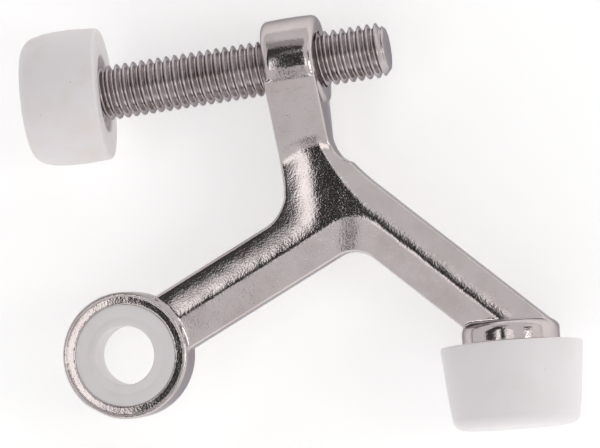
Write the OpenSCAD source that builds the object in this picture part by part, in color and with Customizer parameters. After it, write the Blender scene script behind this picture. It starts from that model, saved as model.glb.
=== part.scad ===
// Hinge-pin door stop. A Y-shaped die-cast lever hangs on a door's hinge pin by
// the ring at its lower left. Its right arm ends in a pad with a fixed bumper,
// and its upper arm in a threaded boss, through which a bumper on a threaded
// rod is screwed in or out.
//
// Frame: the origin is the centre of the hinge-pin bore and +Z is its axis.
// X and Y lie in the lever's middle plane, and +Y points up the upper arm.

/* [Hinge ring] */
// Outside diameter of the ring
ring_d = 18.5; // [17.5:0.1:21]
// Thickness of the ring along the hinge pin
ring_t = 6.2; // [5.6:0.1:8]
// Rounding of the ring's outer edges
ring_edge_r = 0.6; // [0.2:0.1:0.8]
// Depth of the sunk annulus between the rim and the bush
dish_depth = 0.35; // [0.1:0.05:0.6]
// Width of the short flat that the casting gate leaves on the ring
gate_w = 3.2; // [1:0.1:4]
// Direction of the gate flat from the ring's centre
gate_angle = -117; // [-130:1:-100]

/* [Pin bush] */
// Outside diameter of the nylon bush
bush_d = 14.8; // [13:0.1:15.4]
// Bore for the hinge pin
pin_bore_d = 8.6; // [7.9:0.1:10]
// Chamfer at each mouth of the bore
bush_chamfer = 0.25; // [0.1:0.05:0.5]

/* [Arms] */
// Direction of the left arm, which joins the ring to the knee
left_arm_angle = 31.5; // [28:0.5:35]
// Width of the left arm
left_arm_w = 9.2; // [7:0.1:11]
// Sideways offset of the left arm from the ring's centre
left_arm_offset = 0.45; // [0:0.05:1]
// Length of the left arm's centre line, from the ring to the knee
left_arm_l = 40.3; // [38:0.1:43]
// Direction of the right arm, which joins the knee to the pad
right_arm_angle = -37.5; // [-42:0.5:-34]
// Width of the right arm
right_arm_w = 8.6; // [7:0.1:10]
// Thickness of the arms at their edges
edge_t = 4.2; // [3:0.1:5]
// Thickness of the arms along their ridge
ridge_t = 6; // [5.4:0.1:6.8]
// Radius of the inside corner between the left and the upper arm
left_fillet_r = 5.5; // [3:0.1:7]
// Radius of the inside corner between the upper and the right arm
right_fillet_r = 4.5; // [3:0.1:6]
// Radius of the inside corner under the knee
knee_fillet_r = 4.5; // [3:0.1:6]

/* [Threaded boss] */
// Centre of the boss on the rod's axis, along X
boss_x = 24.75; // [23:0.05:26]
// Centre of the boss on the rod's axis, along Y
boss_y = 42.37; // [41:0.05:44]
// Slope of the rod's axis
rod_slope = 8.4; // [5:0.1:12]
// Diameter of the boss
boss_d = 13.4; // [12.6:0.1:15]
// Length of the boss along the rod
boss_l = 8.3; // [7:0.1:10]
// Rounding of the boss's edges
boss_edge_r = 1.0; // [0.3:0.1:1.5]
// Width of the upper arm under the boss
upper_arm_w = 7.6; // [6.5:0.1:8.3]
// Lean of the upper arm's flat face, which runs from the boss down to the ridge
face_lean = 19; // [15:0.5:21]

/* [Threaded rod] */
// Diameter over the thread's crests
rod_d = 8; // [7.6:0.05:8]
// Pitch of the thread
thread_pitch = 1.25; // [1:0.05:1.5]
// Length of the rod
rod_l = 50; // [45:1:55]
// How far the rod stands out of the boss on its free side
rod_free_l = 9.5; // [5:0.5:12]
// Radial running clearance of the rod in its holes
rod_clearance = 0.05; // [0.01:0.01:0.1]

/* [Rod bumper] */
// Diameter at the inner face
rod_bumper_d = 19.3; // [18:0.1:21]
// Largest diameter, a third of the way out
rod_bumper_max_d = 19.8; // [19.3:0.1:21.5]
// Length along the rod
rod_bumper_l = 11.8; // [10.5:0.1:14]
// Radius of the outer edge
rod_bumper_edge_r = 2.6; // [1:0.1:3.5]
// Depth to which the rod is pushed in
rod_socket_depth = 7.7; // [6:0.1:8.5]
// Diameter of the recess around the rod
mouth_d = 12.3; // [10:0.1:14]
// Depth of the recess around the rod
mouth_depth = 2.4; // [1:0.1:3.5]
// Lean of the bumper's body from the rod's axis, in the lever's plane
rod_bumper_lean = 1.8; // [0:0.1:3]
// Turn of the bumper's body from the rod's axis, out of the lever's plane
rod_bumper_turn = 4.5; // [0:0.1:5]

/* [Fixed bumper] */
// Diameter at the top rim, against the pad
fixed_bumper_top_d = 20.6; // [19:0.1:22]
// Diameter near the floor end
fixed_bumper_end_d = 18.4; // [17:0.1:20]
// Height of the bumper
fixed_bumper_h = 12.1; // [10.5:0.1:14]
// Rounding of the bumper's end
fixed_bumper_edge_r = 1.7; // [0.5:0.1:2.5]
// Centre of the pad's face, along X
pad_x = 56.35; // [55:0.05:58]
// Centre of the pad's face, along Y
pad_y = 1.83; // [1:0.01:3]
// Diameter of the pad on the casting
pad_d = 14.1; // [13.4:0.1:15]
// Thickness of the pad
pad_t = 3.1; // [2.6:0.1:4]
// Sideways tilt of the pad's axis from -Y
pad_tilt = 4.9; // [0:0.1:8]
// Lean of the pad's axis out of the lever's plane
pad_lean = 3.5; // [0:0.1:6]

/* [Hidden] */
$fn = 96;
eps = 0.01;
reach = 60;

nickel = [0.70, 0.68, 0.66];
rod_metal = [0.60, 0.58, 0.57];
nylon_white = [0.90, 0.89, 0.88];
rubber_white = [0.93, 0.91, 0.90];

rod_axis = [cos(rod_slope), sin(rod_slope)];
rod_normal = [-sin(rod_slope), cos(rod_slope)];
boss_c = [boss_x, boss_y];

left_dir = [cos(left_arm_angle), sin(left_arm_angle)];
left_normal = [-sin(left_arm_angle), cos(left_arm_angle)];
right_dir = [cos(right_arm_angle), sin(right_arm_angle)];
right_normal = [-sin(right_arm_angle), cos(right_arm_angle)];
knee = left_normal * left_arm_offset + left_dir * left_arm_l;

// The upper arm's left side is nearly flush with the boss, and its right side is set back
upper_left = boss_c - rod_axis * (boss_l / 2 - 0.15);
upper_right = upper_left + rod_axis * upper_arm_w;

// Where two lines cross, each given by a point and a direction
function cross2(a, b) = a[0] * b[1] - a[1] * b[0];
function meet(p, d, q, e) = p + d * cross2(q - p, e) / cross2(d, e);

left_corner = meet(upper_left, rod_normal, knee + left_normal * left_arm_w / 2, left_dir);
right_corner = meet(upper_right, rod_normal, knee + right_normal * right_arm_w / 2, right_dir);
knee_corner = meet(knee - left_normal * left_arm_w / 2, left_dir,
                   knee - right_normal * right_arm_w / 2, right_dir);

// The flat face leaves the boss just under a tangent and meets the ridge lower down
face_top = (boss_d / 2 - 0.04) * [sin(face_lean), cos(face_lean)];
ridge_start_drop = face_top[0] + (face_top[1] - ridge_t / 2) / tan(face_lean);
ridge_start = boss_c + rod_axis * 0.45 - rod_normal * ridge_start_drop;

pad_c = [pad_x, pad_y, 0];
stud_d = 6;
stud_head_d = 9;
stud_l = 5.5;
stud_gap = 0.1;
rod_start = boss_l / 2 + rod_free_l;
bumper_face = rod_start - rod_l + rod_socket_depth;

// Points of an arc round c, from angle a to angle b
function arc(c, r, a, b, n = 8) = [for (i = [0:n]) c + r * [cos(a + (b - a) * i / n), sin(a + (b - a) * i / n)]];

// Puts a child that is turned about Z onto the rod's axis, with its +Z towards the free end
module on_rod() translate(boss_c) rotate([0, 0, rod_slope]) rotate([0, 90, 0]) children();

// Puts a child onto the pad's axis, with its +Z towards the door and z = 0 on the pad's face
module on_pad() translate(pad_c) rotate([0, 0, pad_tilt]) rotate([90 - pad_lean, 0, 0]) children();

// An inside corner between edges that leave along d and e, rounded with radius r
function rounded(corner, d, e, r) =
    let (half = acos(d * e) / 2, c = corner + (d + e) / norm(d + e) * r / sin(half),
         p = corner + d * r / tan(half) - c, q = corner + e * r / tan(half) - c,
         a = atan2(p[1], p[0]), turn = (atan2(q[1], q[0]) - a + 540) % 360 - 180)
    arc(c, r, a, a + turn, 7);

// The outline of the three arms, seen along the hinge pin
module arm_outline() {
    seat = [pad_x, pad_y + pad_t * 0.6];
    seat_dir = [cos(pad_tilt), sin(pad_tilt)];
    polygon(concat(
        [[0, 0], left_normal * (left_arm_offset + left_arm_w / 2)],
        rounded(left_corner, -left_dir, rod_normal, left_fillet_r),
        [upper_left, upper_right],
        rounded(right_corner, rod_normal, right_dir, right_fillet_r),
        [meet(right_corner, right_dir, seat, seat_dir), meet(knee_corner, right_dir, seat, seat_dir)],
        rounded(knee_corner, right_dir, -left_dir, knee_fillet_r),
        [left_normal * (left_arm_offset - left_arm_w / 2)]
    ));
}

// A long gabled bar from a to b, t thick along its ridge
module ridge_bar(a, b, w, t = ridge_t) {
    run = b - a;
    fall = (t - edge_t) / w;
    half = w / 2 + 0.6;
    translate(a) rotate([0, 0, atan2(run[1], run[0])]) rotate([90, 0, 90])
        linear_extrude(norm(run))
            polygon([
                [0, t / 2], [half, t / 2 - half * fall],
                [half, -t / 2 + half * fall], [0, -t / 2],
                [-half, -t / 2 + half * fall], [-half, t / 2 - half * fall]
            ]);
}

// The upper arm's side profile: flat faces that lean from the boss in to the edges' thickness
module upper_wedge() {
    foot = face_top[0] + (face_top[1] - edge_t / 2) / tan(face_lean);
    translate(boss_c) rotate([0, 0, rod_slope]) translate([-boss_l, 0, 0]) rotate([0, 90, 0])
        linear_extrude(boss_l * 2)
            polygon([
                [0, 0], [-face_top[1], -face_top[0]], [-edge_t / 2, -foot],
                [edge_t / 2, -foot], [face_top[1], -face_top[0]]
            ]);
}

module arms() {
    intersection() {
        translate([0, 0, -reach / 2]) linear_extrude(reach) arm_outline();
        union() {
            translate([-10, -10, -edge_t / 2]) cube([90, 70, edge_t]);
            ridge_bar([0, 0] + left_normal * left_arm_offset, knee, left_arm_w);
            ridge_bar(knee, knee + right_dir * 30, right_arm_w);
            ridge_bar(ridge_start, knee, left_arm_w, ridge_t - 0.1);
            upper_wedge();
        }
    }
}

module ring() {
    r = ring_d / 2;
    h = ring_t / 2;
    e = ring_edge_r;
    rotate_extrude()
        polygon(concat([[0, -h]], arc([r - e, -h + e], e, -90, 0), arc([r - e, h - e], e, 0, 90), [[0, h]]));
}

// What is cut away inside the ring's rim: the hole for the bush and a sunk annulus on both faces
module ring_cut() {
    h = ring_t / 2;
    rim_land = 0.12;
    rim_r = ring_d / 2 - ring_edge_r - rim_land;
    slope_w = 0.45;
    over = dish_depth * 2;
    rotate_extrude()
        polygon([
            [0, -h - over], [rim_r + slope_w * over / dish_depth, -h - over],
            [rim_r - slope_w, -h + dish_depth], [bush_d / 2, -h + dish_depth],
            [bush_d / 2, h - dish_depth], [rim_r - slope_w, h - dish_depth],
            [rim_r + slope_w * over / dish_depth, h + over], [0, h + over]
        ]);
}

module boss() {
    r = boss_d / 2;
    h = boss_l / 2;
    e = boss_edge_r;
    on_rod() rotate_extrude()
        polygon(concat([[0, -h]], arc([r - e, -h + e], e, -90, 0), arc([r - e, h - e], e, 0, 90), [[0, h]]));
}

module pad() {
    r = pad_d / 2;
    e = 1.3;
    on_pad() rotate_extrude()
        polygon(concat([[0, 0]], [[r - 0.3, 0], [r, -0.3]], arc([r - e, -pad_t + e], e, 0, -90), [[0, -pad_t]]));
    on_pad() rotate_extrude()
        polygon([
            [0, -eps], [stud_d / 2, -eps], [stud_d / 2, stud_l - 2.4], [stud_head_d / 2, stud_l - 1.8],
            [stud_head_d / 2, stud_l - 1.2], [stud_d / 2, stud_l], [0, stud_l]
        ]);
}

// The die-cast lever: ring, three arms, boss and pad in one piece
module casting() {
    gate_reach = sqrt(pow(ring_d / 2, 2) - pow(gate_w / 2, 2));
    cutter = 10;
    color(nickel) difference() {
        union() {
            arms();
            ring();
            boss();
            pad();
        }
        ring_cut();
        rotate([0, 0, gate_angle]) translate([gate_reach, -cutter / 2, -cutter / 2]) cube(cutter);
        on_rod() cylinder(h = boss_l * 2, d = rod_d + 2 * rod_clearance, center = true);
    }
}

// The nylon bush pressed in the ring, which turns on the hinge pin
module pin_bush() {
    h = ring_t / 2 - dish_depth;
    c = bush_chamfer;
    color(nylon_white) rotate_extrude()
        polygon([
            [pin_bore_d / 2 + c, -h], [bush_d / 2, -h], [bush_d / 2, h], [pin_bore_d / 2 + c, h],
            [pin_bore_d / 2, h - c], [pin_bore_d / 2, -h + c]
        ]);
}

// The stainless rod, its thread drawn as rings of the same pitch and depth
module threaded_rod() {
    crest = rod_d / 2;
    root = crest - 0.6134 * thread_pitch;
    turns = floor((rod_l - 1.2) / thread_pitch);
    first = (rod_l - turns * thread_pitch) / 2;
    color(rod_metal) on_rod() translate([0, 0, rod_start - rod_l]) rotate_extrude()
        polygon(concat(
            [[0, 0], [root, 0]],
            [for (i = [0:turns - 1], p = [
                [root, first + (i + 0.125) * thread_pitch], [crest, first + (i + 0.4375) * thread_pitch],
                [crest, first + (i + 0.5625) * thread_pitch], [root, first + (i + 0.875) * thread_pitch]
            ]) p],
            [[root, rod_l], [0, rod_l]]
        ));
}

// The soft bumper pushed on the rod's end
module rod_bumper() {
    l = rod_bumper_l;
    face_r = rod_bumper_d / 2;
    max_r = rod_bumper_max_d / 2;
    e = rod_bumper_edge_r;
    end_r = max_r - 0.5;
    color(rubber_white) on_rod() difference() {
        translate([0, 0, bumper_face]) rotate([rod_bumper_lean, rod_bumper_turn, 0]) mirror([0, 0, 1]) rotate_extrude()
            polygon(concat(
                [[0, 0], [face_r - 0.4, 0], [face_r, 0.4], [max_r, l * 0.33], [max_r - 0.1, l * 0.6]],
                arc([end_r - e, l - e - 0.35], e, 0, 72),
                [[end_r * 0.55, l], [0, l]]
            ));
        translate([0, 0, bumper_face - rod_socket_depth - 0.3])
            cylinder(h = rod_socket_depth + 3, d = rod_d + 2 * rod_clearance);
        translate([0, 0, bumper_face - mouth_depth])
            cylinder(h = mouth_depth + 0.8, d1 = mouth_d - 2.6, d2 = mouth_d + 0.85);
    }
}

// The fixed bumper, stretched over the mushroom stud under the pad
module fixed_bumper() {
    h = fixed_bumper_h;
    top_r = fixed_bumper_top_d / 2;
    end_r = fixed_bumper_end_d / 2;
    e = fixed_bumper_edge_r;
    g = stud_gap;
    color(rubber_white) on_pad() rotate_extrude()
        polygon(concat(
            [[stud_d / 2 + g, 0], [top_r - 0.3, 0], [top_r, 0.3]],
            arc([end_r - e, h - e], e, 0, 90),
            [
                [0, h], [0, stud_l + g], [stud_d / 2 + g, stud_l + g], [stud_head_d / 2 + g, stud_l - 1.2 + g],
                [stud_head_d / 2 + g, stud_l - 1.8 - g], [stud_d / 2 + g, stud_l - 2.4 - g]
            ]
        ));
}

casting();
pin_bush();
threaded_rod();
rod_bumper();
fixed_bumper();
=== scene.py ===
import math

import bmesh
import bpy
import numpy as np
from mathutils import Matrix, Vector


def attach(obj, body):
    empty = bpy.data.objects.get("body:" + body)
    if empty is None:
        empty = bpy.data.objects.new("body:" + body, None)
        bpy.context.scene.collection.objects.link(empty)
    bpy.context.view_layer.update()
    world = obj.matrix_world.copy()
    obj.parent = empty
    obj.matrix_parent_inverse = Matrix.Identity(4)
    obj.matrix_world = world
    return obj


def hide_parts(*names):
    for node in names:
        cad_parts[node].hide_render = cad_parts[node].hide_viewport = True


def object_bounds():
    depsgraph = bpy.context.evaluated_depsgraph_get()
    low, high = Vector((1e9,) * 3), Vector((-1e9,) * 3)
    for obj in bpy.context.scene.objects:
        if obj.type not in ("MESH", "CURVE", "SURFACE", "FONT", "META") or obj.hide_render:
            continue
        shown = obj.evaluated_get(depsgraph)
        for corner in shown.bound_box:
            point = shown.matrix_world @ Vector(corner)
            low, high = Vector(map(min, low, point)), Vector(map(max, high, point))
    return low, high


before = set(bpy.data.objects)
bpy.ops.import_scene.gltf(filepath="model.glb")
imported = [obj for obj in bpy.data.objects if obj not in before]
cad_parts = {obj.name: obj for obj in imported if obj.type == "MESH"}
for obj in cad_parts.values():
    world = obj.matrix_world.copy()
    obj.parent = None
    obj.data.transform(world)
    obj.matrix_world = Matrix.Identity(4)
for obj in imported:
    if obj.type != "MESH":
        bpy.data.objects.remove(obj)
cad_low, cad_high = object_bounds()
MM = 0.001


# ---- The die-cast lever ----------------------------------------------------------
# One zinc pressure die casting: the hinge ring, three gabled arms that meet at the
# knee, the threaded boss and the round pad. It is tumbled smooth, so every edge is
# softly rounded, and then plated with bright nickel over a faintly grainy skin.

ring_radius = 9.25
ring_half = 3.1
ring_edge = 0.45
rim_land = 0.05
dish_depth = 0.35
dish_fall = 0.05
bush_radius = 7.4
gate_angle = math.radians(-117)
gate_reach = math.sqrt(ring_radius**2 - 1.6**2)

left_angle = math.radians(31.5)
left_width = 9.2
left_offset = 0.45
left_length = 40.3
right_angle = math.radians(-37.5)
right_width = 8.6
ridge_half = 3.0
gable_fall = 0.196
pillow_width = 5.6
pillow_rise = 0.65

rod_slope = math.radians(8.4)
boss_centre = np.array([24.75, 42.37])
boss_radius = 6.7
boss_half = 4.15
upper_width = 7.6
face_lean = math.radians(19)
bore_radius = 4.05

pad_centre = np.array([56.35, 1.83, 0.0])
pad_radius = 7.05
pad_thick = 3.1
pad_tilt = math.radians(4.9)
pad_lean = math.radians(3.5)
pad_axis = np.array([
    math.cos(pad_lean) * math.sin(pad_tilt), -math.cos(pad_lean) * math.cos(pad_tilt), math.sin(pad_lean),
])

skin_step = 0.20


def heading(angle):
    """The unit vector that points along angle in the lever's plane."""
    return np.array([math.cos(angle), math.sin(angle)])


def sideways(direction):
    """The direction turned a quarter turn to its left."""
    return np.array([-direction[1], direction[0]])


rod_dir = heading(rod_slope)
rod_up = sideways(rod_dir)
left_dir = heading(left_angle)
right_dir = heading(right_angle)
left_start = sideways(left_dir) * left_offset
knee = left_start + left_dir * left_length
ridge_top = boss_centre + rod_dir * 0.45 - rod_up * 11.0
upper_foot = boss_centre - rod_up * 22 + rod_dir * (upper_width / 2 - boss_half + 0.15)


def hollow_union(a, b, r):
    """Joins two solids with a rounded inside corner of about radius r."""
    fill = np.hypot(np.maximum(r - a, 0), np.maximum(r - b, 0))
    return np.maximum(r, np.minimum(a, b)) - fill


def soft_cut(a, b, r):
    """Keeps what is in both solids, with the edge between them rounded to about r."""
    return -hollow_union(-a, -b, r)


def strip(x, y, start, direction, half_width, length):
    """Plan distance to a straight strip that runs from start along direction."""
    dx, dy = x - start[0], y - start[1]
    along = dx * direction[0] + dy * direction[1]
    across = np.abs(dy * direction[0] - dx * direction[1]) - half_width
    past = np.abs(along - length / 2) - length / 2
    return np.maximum(across, past)


def left_of(x, y, start, direction):
    """How far a point lies to the left of the line from start along direction."""
    return (y - start[1]) * direction[0] - (x - start[0]) * direction[1]


def soft_higher(a, b, r):
    """The higher of two surfaces, with the valley between them filled over a height r."""
    gap = np.maximum(r - np.abs(a - b), 0) / r
    return np.maximum(a, b) + gap**2 * r / 4


def soft_lower(a, b, r):
    """The lower of two surfaces, with the ridge between them rounded over a height r."""
    return -soft_higher(-a, -b, r)


def roof(x, y, below):
    """Half thickness of the arms: a pillowed flank along the left outline, a flat flank to
    the right of the long ridge, and two flat flanks that meet in a valley under the knee."""
    over_left = left_of(x, y, left_start, left_dir)
    over_right = left_of(x, y, knee, right_dir)
    edge_a = over_left - left_width / 2
    edge_b = left_of(x, y, upper_foot - rod_dir * upper_width / 2, rod_up)
    depth = np.clip(soft_higher(-edge_a, -edge_b, 3.0) / pillow_width, 0, 1)
    pillow = ridge_half - pillow_rise * (1 - depth)**2

    right_of_top = -left_of(x, y, ridge_top, rod_up)
    past_ridge = np.maximum(hollow_union(over_right, right_of_top, 9.0), 0)
    soft = np.clip(0.55 * (below - 11), 1.0, 7)
    flank = ridge_half - 0.30 * (np.sqrt(past_ridge**2 + soft**2 / 4) - soft / 2)

    under = soft_higher(ridge_half + gable_fall * over_left, ridge_half + gable_fall * over_right, 0.7)
    arms = soft_lower(soft_lower(pillow, flank, 0.06), under, 0.08)
    lean_face = boss_radius / math.cos(face_lean) - below * math.tan(face_lean)
    return soft_higher(arms, lean_face, 0.45)


def lever(x, y, z):
    """Signed distance, near enough, to the casting's skin: below zero is metal."""
    flat = x * 0 + y * 0
    left = strip(x, y, left_start, left_dir, left_width / 2, left_length + 1)
    left_part = strip(x, y, left_start, left_dir, left_width / 2, left_length - 8)
    right = strip(x, y, knee - right_dir * 9, right_dir, right_width / 2, 46)
    shoulder = knee - right_dir * 12 + sideways(right_dir) * right_width / 4
    right = np.minimum(right, strip(x, y, shoulder, right_dir, right_width / 4, 20))
    upper = strip(x, y, upper_foot, rod_up, upper_width / 2, 22 - boss_radius * math.sin(face_lean))
    outline = np.minimum(hollow_union(left_part, upper, 3.35), hollow_union(left, right, 2.9))
    outline = np.minimum(outline, hollow_union(upper, right, 1.4))
    below = (x - boss_centre[0]) * -rod_up[0] + (y - boss_centre[1]) * -rod_up[1]
    draft = 0.07 * np.maximum(-z - 1, 0)
    edge = np.where(z > 0, 0.40, 1.1)
    body = soft_cut(outline + draft, np.abs(z) - roof(x, y, below), edge)

    # The boss is a round lug on the rod's axis, slightly crowned along its length
    along = (x - boss_centre[0]) * rod_dir[0] + (y - boss_centre[1]) * rod_dir[1]
    round_boss = np.hypot(below, z) - boss_radius + 0.008 * along**2
    boss = soft_cut(round_boss, np.abs(along) - boss_half + 0.012 * z**2, 1.0)
    body = hollow_union(body, boss, 0.2)

    # The round pad under the right arm, with a rounded upper edge and a flat face
    px, py, pz = x - pad_centre[0], y - pad_centre[1], z - pad_centre[2]
    deep = px * pad_axis[0] + py * pad_axis[1] + pz * pad_axis[2]
    off = np.sqrt(np.maximum(px**2 + py**2 + pz**2 - deep**2, 0))
    pad = soft_cut(off - pad_radius, -deep - pad_thick, 1.4)
    body = soft_cut(body, deep + 0.6 * pad_thick, 0.9)
    body = soft_cut(hollow_union(body, pad, 0.4), deep, 0.25)

    # The ring, its bush's seat, the sunk annulus inside the rim, and the gate's flat
    radius = np.hypot(x, y)
    ring = soft_cut(radius - ring_radius, np.abs(z) - ring_half, ring_edge)
    body = hollow_union(body, ring, 0.5)
    sunk = ring_radius - ring_edge - rim_land - 0.05
    floor_height = ring_half - dish_depth - dish_fall * (radius - bush_radius)
    dish = np.maximum(radius - sunk, floor_height - np.abs(z))
    body = soft_cut(body, bush_radius - radius + flat, 0.12)
    body = soft_cut(body, -dish, 0.10)
    gate = x * math.cos(gate_angle) + y * math.sin(gate_angle) - gate_reach
    body = soft_cut(body, gate + flat, 0.2)
    return soft_cut(body, bore_radius - np.hypot(below, z), 0.3)


def on_skin(points, solid):
    """Moves points along the solid's gradient until they lie on its skin."""
    tiny = 0.01
    x, y, z = points.T
    here = solid(x, y, z)
    slope = np.stack([
        solid(x + tiny, y, z) - solid(x - tiny, y, z),
        solid(x, y + tiny, z) - solid(x, y - tiny, z),
        solid(x, y, z + tiny) - solid(x, y, z - tiny),
    ], axis=1) / (2 * tiny)
    steep = np.maximum((slope**2).sum(1), 0.2)
    move = slope * (here / steep)[:, None]
    size = np.linalg.norm(move, axis=1)
    return points - move * np.minimum(1, 0.1 / np.maximum(size, 1e-9))[:, None]


def cast_skin(name, solid, low, high, step):
    """The mesh of a solid given by its distance function: one point in each grid cell that
    the skin crosses, moved on to the skin itself, and one quad across each crossed grid line."""
    counts = [int(math.ceil((h - l) / step)) + 1 for l, h in zip(low, high)]
    axes = [l + step * np.arange(n) for l, n in zip(low, counts)]
    gx, gy = np.meshgrid(axes[0], axes[1], indexing="ij")
    value = np.empty(counts, np.float32)
    for k, height in enumerate(axes[2]):
        value[:, :, k] = solid(gx, gy, np.full_like(gx, height))
    inside = value < 0
    cells = [n - 1 for n in counts]
    total = np.zeros(cells + [3], np.float32)
    hits = np.zeros(cells, np.int16)
    quads = []
    for axis in range(3):
        near = [slice(None)] * 3
        far = [slice(None)] * 3
        near[axis], far[axis] = slice(0, -1), slice(1, None)
        crossed = np.argwhere(inside[tuple(near)] != inside[tuple(far)])
        v0 = value[tuple(near)][tuple(crossed.T)]
        v1 = value[tuple(far)][tuple(crossed.T)]
        point = crossed.astype(np.float32)
        point[:, axis] += v0 / (v0 - v1)
        others = [a for a in range(3) if a != axis]
        around = []
        for da, db in ((0, 0), (-1, 0), (-1, -1), (0, -1)):
            c = crossed.copy()
            c[:, others[0]] += da
            c[:, others[1]] += db
            ok = np.all((c >= 0) & (c < np.array(cells)), axis=1)
            np.add.at(total, tuple(c[ok].T), point[ok])
            np.add.at(hits, tuple(c[ok].T), 1)
            around.append(np.ravel_multi_index(np.clip(c, 0, np.array(cells) - 1).T, cells))
        around = np.stack(around, axis=1)
        outward = (v0 < 0) != (axis == 1)
        quads.append(np.where(outward[:, None], around, around[:, ::-1]))
    used = np.flatnonzero(hits.ravel())
    order = np.full(hits.size, -1, np.int64)
    order[used] = np.arange(len(used))
    grid_points = total.reshape(-1, 3)[used] / hits.ravel()[used][:, None]
    points = grid_points.astype(np.float64) * step + np.array(low)
    for _ in range(4):
        points = on_skin(points, solid)
    mesh = bpy.data.meshes.new(name)
    mesh.from_pydata((points * MM).tolist(), [], order[np.concatenate(quads)].tolist())
    mesh.shade_smooth()
    made = bpy.data.objects.new(name, mesh)
    bpy.context.scene.collection.objects.link(made)
    return made


def bright_metal(name, tint, dull_tint, polish, grain_size, grain_lift, wave_lift):
    """Bare bright metal: faint clouds in its colour, uneven polish and a fine cast or rolled grain."""
    metal = bpy.data.materials.new(name)
    metal.use_nodes = True
    nodes, links = metal.node_tree.nodes, metal.node_tree.links
    shader = nodes["Principled BSDF"]
    place = nodes.new("ShaderNodeTexCoord")
    place.label, place.location = "place on the part", (-1300, 0)

    colour_frame = nodes.new("NodeFrame")
    colour_frame.label = "clouds in the plate"
    clouds = nodes.new("ShaderNodeTexNoise")
    clouds.label, clouds.location, clouds.parent = "cloud shapes", (-900, 400), colour_frame
    cloud_ramp = nodes.new("ShaderNodeValToRGB")
    cloud_ramp.label, cloud_ramp.location, cloud_ramp.parent = "bright to dull", (-650, 400), colour_frame

    polish_frame = nodes.new("NodeFrame")
    polish_frame.label = "uneven polish"
    smears = nodes.new("ShaderNodeTexNoise")
    smears.label, smears.location, smears.parent = "tumbling marks", (-900, 50), polish_frame
    polish_range = nodes.new("ShaderNodeMapRange")
    polish_range.label, polish_range.location, polish_range.parent = "roughness", (-650, 50), polish_frame

    grain_frame = nodes.new("NodeFrame")
    grain_frame.label = "grain and slow waves in the skin"
    grain = nodes.new("ShaderNodeTexNoise")
    grain.label, grain.location, grain.parent = "fine grain", (-900, -300), grain_frame
    waves = nodes.new("ShaderNodeTexNoise")
    waves.label, waves.location, waves.parent = "slow waves", (-900, -600), grain_frame
    grain_bump = nodes.new("ShaderNodeBump")
    grain_bump.label, grain_bump.location, grain_bump.parent = "grain relief", (-400, -300), grain_frame
    wave_bump = nodes.new("ShaderNodeBump")
    wave_bump.label, wave_bump.location, wave_bump.parent = "wave relief", (-650, -600), grain_frame

    shader.inputs["Metallic"].default_value = 1.0
    shader.inputs["Specular Tint"].default_value = (0.42, 0.41, 0.44, 1)
    clouds.inputs["Scale"].default_value = 260
    clouds.inputs["Detail"].default_value = 4
    cloud_ramp.color_ramp.elements[0].position = 0.30
    cloud_ramp.color_ramp.elements[0].color = (*dull_tint, 1)
    cloud_ramp.color_ramp.elements[1].position = 0.55
    cloud_ramp.color_ramp.elements[1].color = (*tint, 1)
    smears.inputs["Scale"].default_value = 900
    smears.inputs["Detail"].default_value = 3
    polish_range.inputs["From Min"].default_value = 0.30
    polish_range.inputs["From Max"].default_value = 0.70
    polish_range.inputs["To Min"].default_value = polish * 0.7
    polish_range.inputs["To Max"].default_value = polish * 1.4
    grain.inputs["Scale"].default_value = 1 / (grain_size * MM)
    grain.inputs["Detail"].default_value = 2
    grain.inputs["Roughness"].default_value = 0.55
    grain_bump.inputs["Distance"].default_value = grain_lift * MM
    waves.inputs["Scale"].default_value = 330
    waves.inputs["Detail"].default_value = 1
    wave_bump.inputs["Distance"].default_value = wave_lift * MM

    for texture in (clouds, smears, grain, waves):
        links.new(place.outputs["Object"], texture.inputs["Vector"])
    links.new(clouds.outputs["Fac"], cloud_ramp.inputs["Fac"])
    links.new(cloud_ramp.outputs["Color"], shader.inputs["Base Color"])
    links.new(smears.outputs["Fac"], polish_range.inputs["Value"])
    links.new(polish_range.outputs["Result"], shader.inputs["Roughness"])
    links.new(waves.outputs["Fac"], wave_bump.inputs["Height"])
    links.new(grain.outputs["Fac"], grain_bump.inputs["Height"])
    links.new(wave_bump.outputs["Normal"], grain_bump.inputs["Normal"])
    links.new(grain_bump.outputs["Normal"], shader.inputs["Normal"])
    return metal


grid_low = (-10.0, -10.0, -7.9)
grid_high = (64.6, 50.2, 7.9)
casting = cast_skin("lever_casting", lever, grid_low, grid_high, skin_step)
casting.data.materials.append(bright_metal(
    "nickel_plate", tint=(0.63, 0.575, 0.57), dull_tint=(0.57, 0.51, 0.505), polish=0.07,
    grain_size=0.28, grain_lift=0.017, wave_lift=0.045,
))
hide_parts("casting")
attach(casting, "lever")


# ---- The hinge-pin bush ----------------------------------------------------------
# A turned ring of natural white nylon, pressed into the casting's ring until it is
# flush with the sunk annulus. The hinge pin turns in its plain bore.

bush_half = 2.75
bush_bore = 4.3


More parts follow.
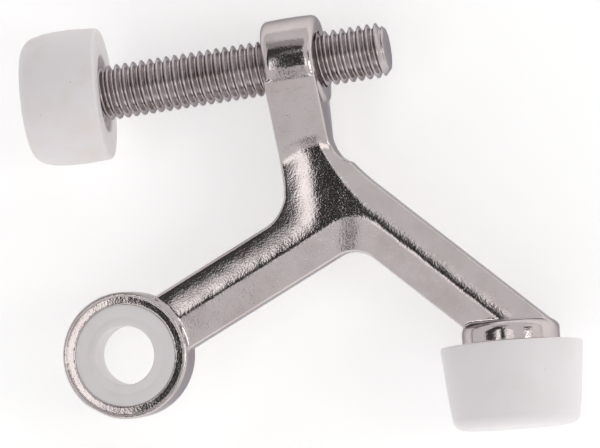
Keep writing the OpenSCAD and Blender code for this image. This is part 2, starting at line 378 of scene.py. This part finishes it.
def turned(name, profile, centre, axis, round_steps):
    """A solid of revolution: profile is a closed loop of (radius, place along axis) in mm."""
    axis = Vector(axis).normalized()
    side = axis.orthogonal().normalized()
    over = axis.cross(side)
    count = len(profile)
    points, faces = [], []
    for i in range(round_steps):
        angle = 2 * math.pi * i / round_steps
        out = side * math.cos(angle) + over * math.sin(angle)
        points += [(Vector(centre) + out * r + axis * s) * MM for r, s in profile]
        a, b = i * count, (i + 1) % round_steps * count
        faces += [(a + k, b + k, b + (k + 1) % count, a + (k + 1) % count) for k in range(count)]
    mesh = bpy.data.meshes.new(name)
    mesh.from_pydata(points, [], faces)
    mesh.validate()
    mesh.update()
    work = bmesh.new()
    work.from_mesh(mesh)
    bmesh.ops.remove_doubles(work, verts=work.verts, dist=1e-7)
    bmesh.ops.recalc_face_normals(work, faces=work.faces)
    work.to_mesh(mesh)
    work.free()
    mesh.shade_smooth()
    mesh.set_sharp_from_angle(angle=math.radians(38))
    made = bpy.data.objects.new(name, mesh)
    bpy.context.scene.collection.objects.link(made)
    return made


def corner(r, s, size, start, turn=-90, steps=5):
    """A rounded corner of a profile, about (r, s), from angle start through turn degrees."""
    angles = [math.radians(start + turn * i / steps) for i in range(steps + 1)]
    return [(r + size * math.cos(a), s + size * math.sin(a)) for a in angles]


def white_polymer(name, colour, stain, gloss, speck_size, speck_share, relief_size, relief_lift, soft_depth):
    """A white moulding: cloudy stain, small dark specks, uneven sheen and a fine moulded texture."""
    polymer = bpy.data.materials.new(name)
    polymer.use_nodes = True
    nodes, links = polymer.node_tree.nodes, polymer.node_tree.links
    shader = nodes["Principled BSDF"]
    place = nodes.new("ShaderNodeTexCoord")
    place.label, place.location = "place on the part", (-1500, 0)

    colour_frame = nodes.new("NodeFrame")
    colour_frame.label = "stain and specks"
    clouds = nodes.new("ShaderNodeTexNoise")
    clouds.label, clouds.location, clouds.parent = "stain shapes", (-1200, 500), colour_frame
    stain_ramp = nodes.new("ShaderNodeValToRGB")
    stain_ramp.label, stain_ramp.location, stain_ramp.parent = "clean to stained", (-950, 500), colour_frame
    cells = nodes.new("ShaderNodeTexVoronoi")
    cells.label, cells.location, cells.parent = "speck places", (-1200, 200), colour_frame
    speck_edge = nodes.new("ShaderNodeMapRange")
    speck_edge.label, speck_edge.location, speck_edge.parent = "speck size", (-950, 200), colour_frame
    rare = nodes.new("ShaderNodeTexNoise")
    rare.label, rare.location, rare.parent = "where specks are", (-1200, -50), colour_frame
    rare_edge = nodes.new("ShaderNodeMapRange")
    rare_edge.label, rare_edge.location, rare_edge.parent = "share of specks", (-950, -50), colour_frame
    speck = nodes.new("ShaderNodeMath")
    speck.label, speck.location, speck.parent = "specks", (-700, 100), colour_frame
    paint = nodes.new("ShaderNodeMix")
    paint.label, paint.location, paint.parent = "colour with specks", (-450, 350), colour_frame

    relief_frame = nodes.new("NodeFrame")
    relief_frame.label = "sheen and moulded texture"
    relief = nodes.new("ShaderNodeTexNoise")
    relief.label, relief.location, relief.parent = "texture", (-950, -400), relief_frame
    sheen = nodes.new("ShaderNodeMapRange")
    sheen.label, sheen.location, sheen.parent = "roughness", (-700, -250), relief_frame
    bump = nodes.new("ShaderNodeBump")
    bump.label, bump.location, bump.parent = "relief", (-450, -400), relief_frame

    shader.inputs["Subsurface Weight"].default_value = 0.25
    shader.inputs["Subsurface Radius"].default_value = (1.0, 0.8, 0.7)
    shader.inputs["Subsurface Scale"].default_value = soft_depth * MM
    clouds.inputs["Scale"].default_value = 190
    clouds.inputs["Detail"].default_value = 4
    stain_ramp.color_ramp.elements[0].position = 0.30
    stain_ramp.color_ramp.elements[0].color = (*stain, 1)
    stain_ramp.color_ramp.elements[1].position = 0.52
    stain_ramp.color_ramp.elements[1].color = (*colour, 1)
    cells.inputs["Scale"].default_value = 1 / (speck_size * 6 * MM)
    speck_edge.inputs["From Min"].default_value = 0.06
    speck_edge.inputs["From Max"].default_value = 0.13
    speck_edge.inputs["To Min"].default_value = 1
    speck_edge.inputs["To Max"].default_value = 0
    rare.inputs["Scale"].default_value = 420
    rare_edge.inputs["From Min"].default_value = 1 - speck_share
    rare_edge.inputs["From Max"].default_value = 1.04 - speck_share
    speck.operation = "MULTIPLY"
    paint.data_type = "RGBA"
    paint.inputs["B"].default_value = (0.34, 0.26, 0.20, 1)
    relief.inputs["Scale"].default_value = 1 / (relief_size * MM)
    relief.inputs["Detail"].default_value = 3
    sheen.inputs["To Min"].default_value = gloss - 0.08
    sheen.inputs["To Max"].default_value = gloss + 0.08
    bump.inputs["Distance"].default_value = relief_lift * MM

    for texture in (clouds, cells, rare, relief):
        links.new(place.outputs["Object"], texture.inputs["Vector"])
    links.new(clouds.outputs["Fac"], stain_ramp.inputs["Fac"])
    links.new(cells.outputs["Distance"], speck_edge.inputs["Value"])
    links.new(rare.outputs["Fac"], rare_edge.inputs["Value"])
    links.new(speck_edge.outputs["Result"], speck.inputs[0])
    links.new(rare_edge.outputs["Result"], speck.inputs[1])
    links.new(speck.outputs["Value"], paint.inputs["Factor"])
    links.new(stain_ramp.outputs["Color"], paint.inputs["A"])
    links.new(paint.outputs["Result"], shader.inputs["Base Color"])
    links.new(relief.outputs["Fac"], sheen.inputs["Value"])
    links.new(sheen.outputs["Result"], shader.inputs["Roughness"])
    links.new(relief.outputs["Fac"], bump.inputs["Height"])
    links.new(bump.outputs["Normal"], shader.inputs["Normal"])
    return polymer


upper_half = (
    corner(bush_bore + 0.25, bush_half - 0.25, 0.25, 180, -90)
    + [(5.45, bush_half), (5.60, bush_half - 0.05), (5.75, bush_half)]
    + corner(bush_radius - 0.12, bush_half - 0.12, 0.12, 90, -90)
)
lower_half = [(r, -s) for r, s in reversed(upper_half)]
bush = turned("hinge_pin_bush", upper_half + lower_half, (0, 0, 0), (0, 0, 1), 96)
bush.data.materials.append(white_polymer(
    "nylon", colour=(0.78, 0.745, 0.755), stain=(0.75, 0.71, 0.71), gloss=0.38, speck_size=0.10,
    speck_share=0.25, relief_size=0.8, relief_lift=0.008, soft_depth=1.2,
))
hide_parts("pin_bush")
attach(bush, "lever")


# ---- The threaded rod ------------------------------------------------------------
# An M8 steel rod, 50 mm long, with a rolled thread of 1.25 mm pitch from end to end and
# a small chamfer at each sawn end. It screws through the boss and carries the bumper.

rod_radius = 4.0
pitch = 1.25
thread_depth = 0.6134 * pitch
rod_first, rod_last = -36.35, 13.65
chamfer_radius = 3.05
turn_steps = 64
pitch_steps = 16

rod_line = Vector((*rod_dir, 0))
rod_side = Vector((*rod_up, 0))
rod_front = rod_line.cross(rod_side)
boss_place = Vector((*boss_centre, 0))

# One right-handed helical skin: going once round moves a point on by one pitch
points, faces = [], []
columns = int((rod_last - rod_first) / pitch + 3) * pitch_steps
for k in range(columns):
    for j in range(turn_steps):
        s = rod_first - 1.5 * pitch + pitch * (k / pitch_steps + j / turn_steps)
        phase = abs((k % pitch_steps) / pitch_steps - 0.5) * 2
        climb = min(max((0.80 - phase) / 0.66, 0), 1)
        radius = rod_radius - thread_depth * (1 - climb) - 0.03 * (climb == 1) * phase / 0.14
        radius = min(radius, chamfer_radius + min(rod_last - s, s - rod_first))
        turn = 2 * math.pi * j / turn_steps
        out = rod_side * math.cos(turn) + rod_front * math.sin(turn)
        points.append((boss_place + rod_line * s + out * radius) * MM)
for k in range(columns - 1):
    for j in range(turn_steps):
        next_j = (j + 1) % turn_steps
        step = pitch_steps if next_j == 0 else 0
        ring = [(k, j), (k + 1, j), (k + 1 + step, next_j), (k + step, next_j)]
        if ring[2][0] < columns:
            faces.append([a * turn_steps + b for a, b in ring])
rod_mesh = bpy.data.meshes.new("threaded_rod")
rod_mesh.from_pydata(points, [], faces)
work = bmesh.new()
work.from_mesh(rod_mesh)
for place, outward in ((rod_first, -1), (rod_last, 1)):
    cut = bmesh.ops.bisect_plane(
        work, geom=work.verts[:] + work.edges[:] + work.faces[:], dist=1e-8,
        plane_co=(boss_place + rod_line * place) * MM, plane_no=rod_line * outward, clear_outer=True,
    )
    rim = [e for e in cut["geom_cut"] if isinstance(e, bmesh.types.BMEdge)]
    bmesh.ops.contextual_create(work, geom=rim)
bmesh.ops.delete(work, geom=[v for v in work.verts if not v.link_faces], context="VERTS")
bmesh.ops.recalc_face_normals(work, faces=work.faces)
work.to_mesh(rod_mesh)
work.free()
rod_mesh.shade_smooth()
rod_mesh.set_sharp_from_angle(angle=math.radians(42))
rod = bpy.data.objects.new("threaded_rod_skin", rod_mesh)
bpy.context.scene.collection.objects.link(rod)
rod.data.materials.append(bright_metal(
    "rod_steel", tint=(0.56, 0.51, 0.52), dull_tint=(0.42, 0.37, 0.36), polish=0.17,
    grain_size=0.16, grain_lift=0.008, wave_lift=0.02,
))
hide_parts("threaded_rod")
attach(rod, "screw")


# ---- The rod's bumper ------------------------------------------------------------
# A soft white rubber moulding, pushed a little crooked on the end of the rod. It is
# slightly barrel shaped, with a well rounded outer edge and a sunk mouth around the rod.

barrel_length = 11.8
barrel_face = 9.65
barrel_widest = 9.87
barrel_edge = 2.6
socket_radius = 4.05
socket_depth = 7.9
bumper_face = -28.65
bumper_lean = math.radians(1.8)
bumper_turn = math.radians(4.5)

flat_axis = -rod_line * math.cos(bumper_turn) + rod_front * math.sin(bumper_turn)
bumper_axis = flat_axis * math.cos(bumper_lean) + rod_side * math.sin(bumper_lean)
barrel = (
    [(socket_radius, socket_depth), (socket_radius, 2.0)]
    + [(4.5, 1.9), (5.0, 1.3), (5.4, 0.7)] + corner(5.95, 0.45, 0.45, 180, 90, 4)[:-1] + [(6.1, 0.0)]
    + corner(barrel_face - 0.45, 0.45, 0.45, -90, 85, 6)
    + [(9.76, 2.0), (9.84, 3.4), (barrel_widest, 4.4), (9.81, 6.6), (9.66, 8.2)]
    + corner(9.40 - barrel_edge, barrel_length - barrel_edge - 0.3, barrel_edge, 8, 66, 9)
    + [(5.6, 11.68), (3.0, 11.76), (0.0, barrel_length), (0.0, socket_depth)]
)
rod_bumper = turned(
    "rod_end_bumper", barrel, boss_place + rod_line * bumper_face, bumper_axis, 128,
)
rod_bumper.data.materials.append(white_polymer(
    "soft_rubber", colour=(0.84, 0.80, 0.82), stain=(0.81, 0.76, 0.735), gloss=0.62, speck_size=0.14,
    speck_share=0.40, relief_size=0.35, relief_lift=0.02, soft_depth=1.0,
))
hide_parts("rod_bumper")
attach(rod_bumper, "adjuster")


# ---- The fixed bumper ------------------------------------------------------------
# A smooth white rubber cup, stretched over the mushroom stud under the pad. It tapers
# to its rounded end, where a fine parting line runs round it.

cup_height = 12.08
cup_top = 10.28
cup_end = 9.25
cup_edge = 1.75
stud_hole_depth = 6.0
stud_radius = 3.1

cup = (
    [(stud_radius, stud_hole_depth), (stud_radius, 0.0)]
    + corner(cup_top - 0.4, 0.4, 0.4, -90, 84, 6)
    + [(cup_top - 0.22, 2.8), (cup_top - 0.47, 5.5), (cup_top - 0.73, 8.2)]
    + [(cup_end + 0.05, 10.05), (cup_end + 0.02, 10.18), (cup_end, 10.30)]
    + corner(cup_end - cup_edge, cup_height - cup_edge, cup_edge, 0, 84, 8)
    + [(6.0, cup_height - 0.02), (0.0, cup_height), (0.0, stud_hole_depth)]
)
fixed_bumper = turned("pad_bumper", cup, pad_centre, pad_axis, 128)
fixed_bumper.data.materials.append(white_polymer(
    "smooth_rubber", colour=(0.85, 0.82, 0.835), stain=(0.83, 0.795, 0.805), gloss=0.40, speck_size=0.10,
    speck_share=0.30, relief_size=1.2, relief_lift=0.01, soft_depth=1.0,
))
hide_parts("fixed_bumper")
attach(fixed_bumper, "lever")


# ---- Studio ----------------------------------------------------------------------
# A pale table under a soft light tent. The tent's bright panels, its dark gaps and the
# opening that the camera looks through are what the nickel plate mirrors.

camera = bpy.data.objects.new("camera", bpy.data.cameras.new("camera"))
bpy.context.scene.collection.objects.link(camera)
bpy.context.scene.camera = camera

distance = 0.75
view_width = 86.957
turn_right = math.radians(11)
turn_down = math.radians(0.5)
aim = Vector((0.02537, 0.01908, 0.0))
back = Vector((math.sin(turn_right) * math.cos(turn_down), -math.sin(turn_down),
               math.cos(turn_right) * math.cos(turn_down)))
right = Vector((0, 1, 0)).cross(back).normalized()
up = back.cross(right)
facing = Matrix((right, up, back)).transposed().to_4x4()
camera.matrix_world = Matrix.Translation(aim + back * distance) @ facing
camera.data.sensor_width = 36
camera.data.lens = camera.data.sensor_width * distance / (view_width * MM)
camera.data.clip_start, camera.data.clip_end = 0.01, 10


def tent_panel(name, x, y, width, height, brightness, roll=0, away=1.3):
    """A panel of the tent, away metres off towards (x, y) on the half globe in front of the part."""
    toward = Vector((x, y, math.sqrt(max(1 - x * x - y * y, 0.0))))
    across = Vector((0, 1, 0)).cross(toward).normalized()
    panel_mesh = bpy.data.meshes.new(name)
    w, h = width / 2 * away, height / 2 * away
    panel_mesh.from_pydata([(-w, -h, 0), (w, -h, 0), (w, h, 0), (-w, h, 0)], [], [(0, 1, 2, 3)])
    panel = bpy.data.objects.new(name, panel_mesh)
    turned_to = Matrix((across, toward.cross(across), toward)).transposed().to_4x4()
    panel.matrix_world = Matrix.Translation(aim + toward * away) @ turned_to @ Matrix.Rotation(roll, 4, "Z")
    bpy.context.scene.collection.objects.link(panel)
    cloth = bpy.data.materials.new(name)
    cloth.use_nodes = True
    shader = cloth.node_tree.nodes["Principled BSDF"]
    shader.inputs["Base Color"].default_value = (0.02, 0.02, 0.02, 1)
    shader.inputs["Roughness"].default_value = 1.0
    shader.inputs["Specular IOR Level"].default_value = 0.0
    shader.inputs["Emission Color"].default_value = (1.0, 0.985, 0.97, 1)
    shader.inputs["Emission Strength"].default_value = brightness
    panel_mesh.materials.append(cloth)
    return panel


tent_panel("gap_in_front", -0.175, 0.10, 0.19, 0.62, 0.02, math.radians(8.4), away=1.2)
tent_panel("gap_below", -0.12, -0.38, 0.06, 0.26, 0.02, math.radians(8.4), away=1.2)
tent_panel("left_bright", -0.365, 0.0, 0.13, 0.52, 1.5, math.radians(-38))
tent_panel("low_left_bright", -0.315, -0.14, 0.10, 0.16, 1.5, math.radians(30), away=1.25)
tent_panel("camera_side_bright", 0.13, -0.05, 0.30, 0.36, 1.5)
tent_panel("left_dark", -0.50, 0.30, 0.36, 1.00, 0.04, math.radians(-30), away=1.2)
tent_panel("top_bright", -0.26, 0.50, 0.40, 0.06, 1.5)
tent_panel("top_shade", -0.28, 0.74, 0.60, 0.26, 0.36)
tent_panel("right_side_light", 0.92, 0.10, 0.6, 1.4, 0.9)
tent_panel("thread_light", 0.76, -0.02, 0.24, 0.26, 4.0, away=1.1)
tent_panel("thread_shade", 0.74, 0.30, 0.34, 0.22, 0.05, away=1.1)
tent_panel("low_side_light", 0.0, -0.94, 1.6, 0.4, 1.3)

world = bpy.data.worlds.new("tent")
bpy.context.scene.world = world
world.use_nodes = True
world.node_tree.nodes["Background"].inputs["Color"].default_value = (0.74, 0.735, 0.735, 1)
bpy.context.scene.view_settings.view_transform = "Standard"

floor_mesh = bpy.data.meshes.new("table")
floor_mesh.from_pydata([(-2, -2, 0), (2, -2, 0), (2, 2, 0), (-2, 2, 0)], [], [(0, 1, 2, 3)])
floor = bpy.data.objects.new("table", floor_mesh)
floor.location = (0, 0, cad_low.z - 0.0002)
bpy.context.scene.collection.objects.link(floor)
paper = bpy.data.materials.new("table_paper")
paper.use_nodes = True
paper.node_tree.nodes["Principled BSDF"].inputs["Base Color"].default_value = (0.95, 0.95, 0.95, 1)
paper.node_tree.nodes["Principled BSDF"].inputs["Roughness"].default_value = 0.9
paper.node_tree.nodes["Principled BSDF"].inputs["Emission Color"].default_value = (1, 1, 1, 1)
paper.node_tree.nodes["Principled BSDF"].inputs["Emission Strength"].default_value = 0.30
floor_mesh.materials.append(paper)
